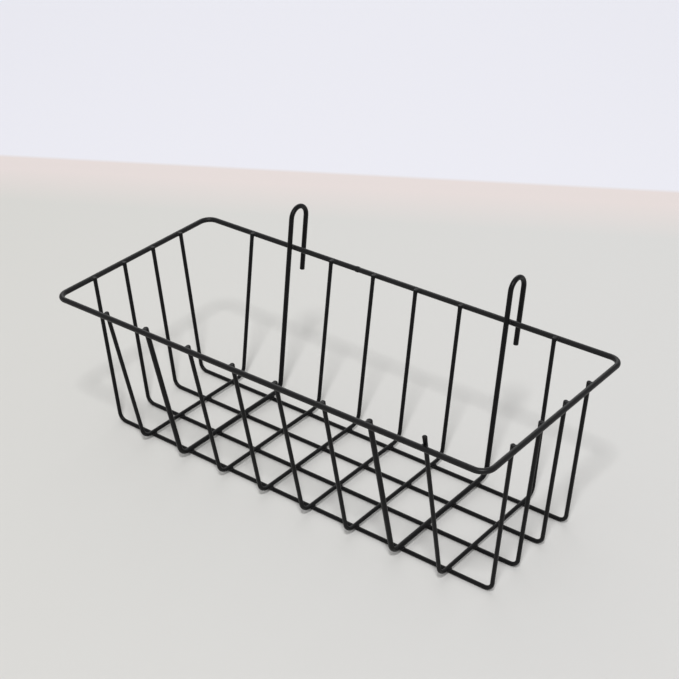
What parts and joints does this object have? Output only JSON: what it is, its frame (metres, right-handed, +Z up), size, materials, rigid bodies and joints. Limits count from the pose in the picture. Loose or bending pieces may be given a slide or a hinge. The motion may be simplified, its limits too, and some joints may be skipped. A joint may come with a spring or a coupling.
{
  "type": "egg collection basket",
  "caption": "Open rectangular basket of black coated welded wire, with tapered sides and rear hooks that hang it on a grid or rail.",
  "frame": {"origin": "on the surface the basket stands on, below the middle of the whole part's outline, hooks included", "axes": "+X along the basket's length to the right as seen from its front, +Y towards the wall or panel that it hangs on, +Z up"},
  "size_m": [0.3, 0.145, 0.121],
  "materials": {
    "rim_coating": "satin black powder coat",
    "wire_coating": "satin black powder coat",
    "hook_coating": "satin black powder coat",
    "weld_coating": "satin black powder coat"
  },
  "bodies": {
    "root": {"rim_wire": "rim_coating", "long_wire_1": "wire_coating", "long_wire_2": "wire_coating", "long_wire_3": "wire_coating", "long_wire_4": "wire_coating", "cross_wire_1": "wire_coating", "cross_wire_2": "wire_coating", "cross_wire_3": "wire_coating", "cross_wire_4": "wire_coating", "cross_wire_5": "wire_coating", "cross_wire_6": "wire_coating", "hook_wire_left": "hook_coating", "hook_wire_right": "hook_coating", "welds_floor_row_1": "weld_coating", "welds_floor_row_2": "weld_coating", "welds_floor_row_3": "weld_coating", "welds_floor_row_4": "weld_coating", "welds_rim_front": "weld_coating", "welds_rim_back": "weld_coating", "welds_rim_left": "weld_coating", "welds_rim_right": "weld_coating", "rim_butt_weld": "weld_coating"}
  },
  "joints": []
}
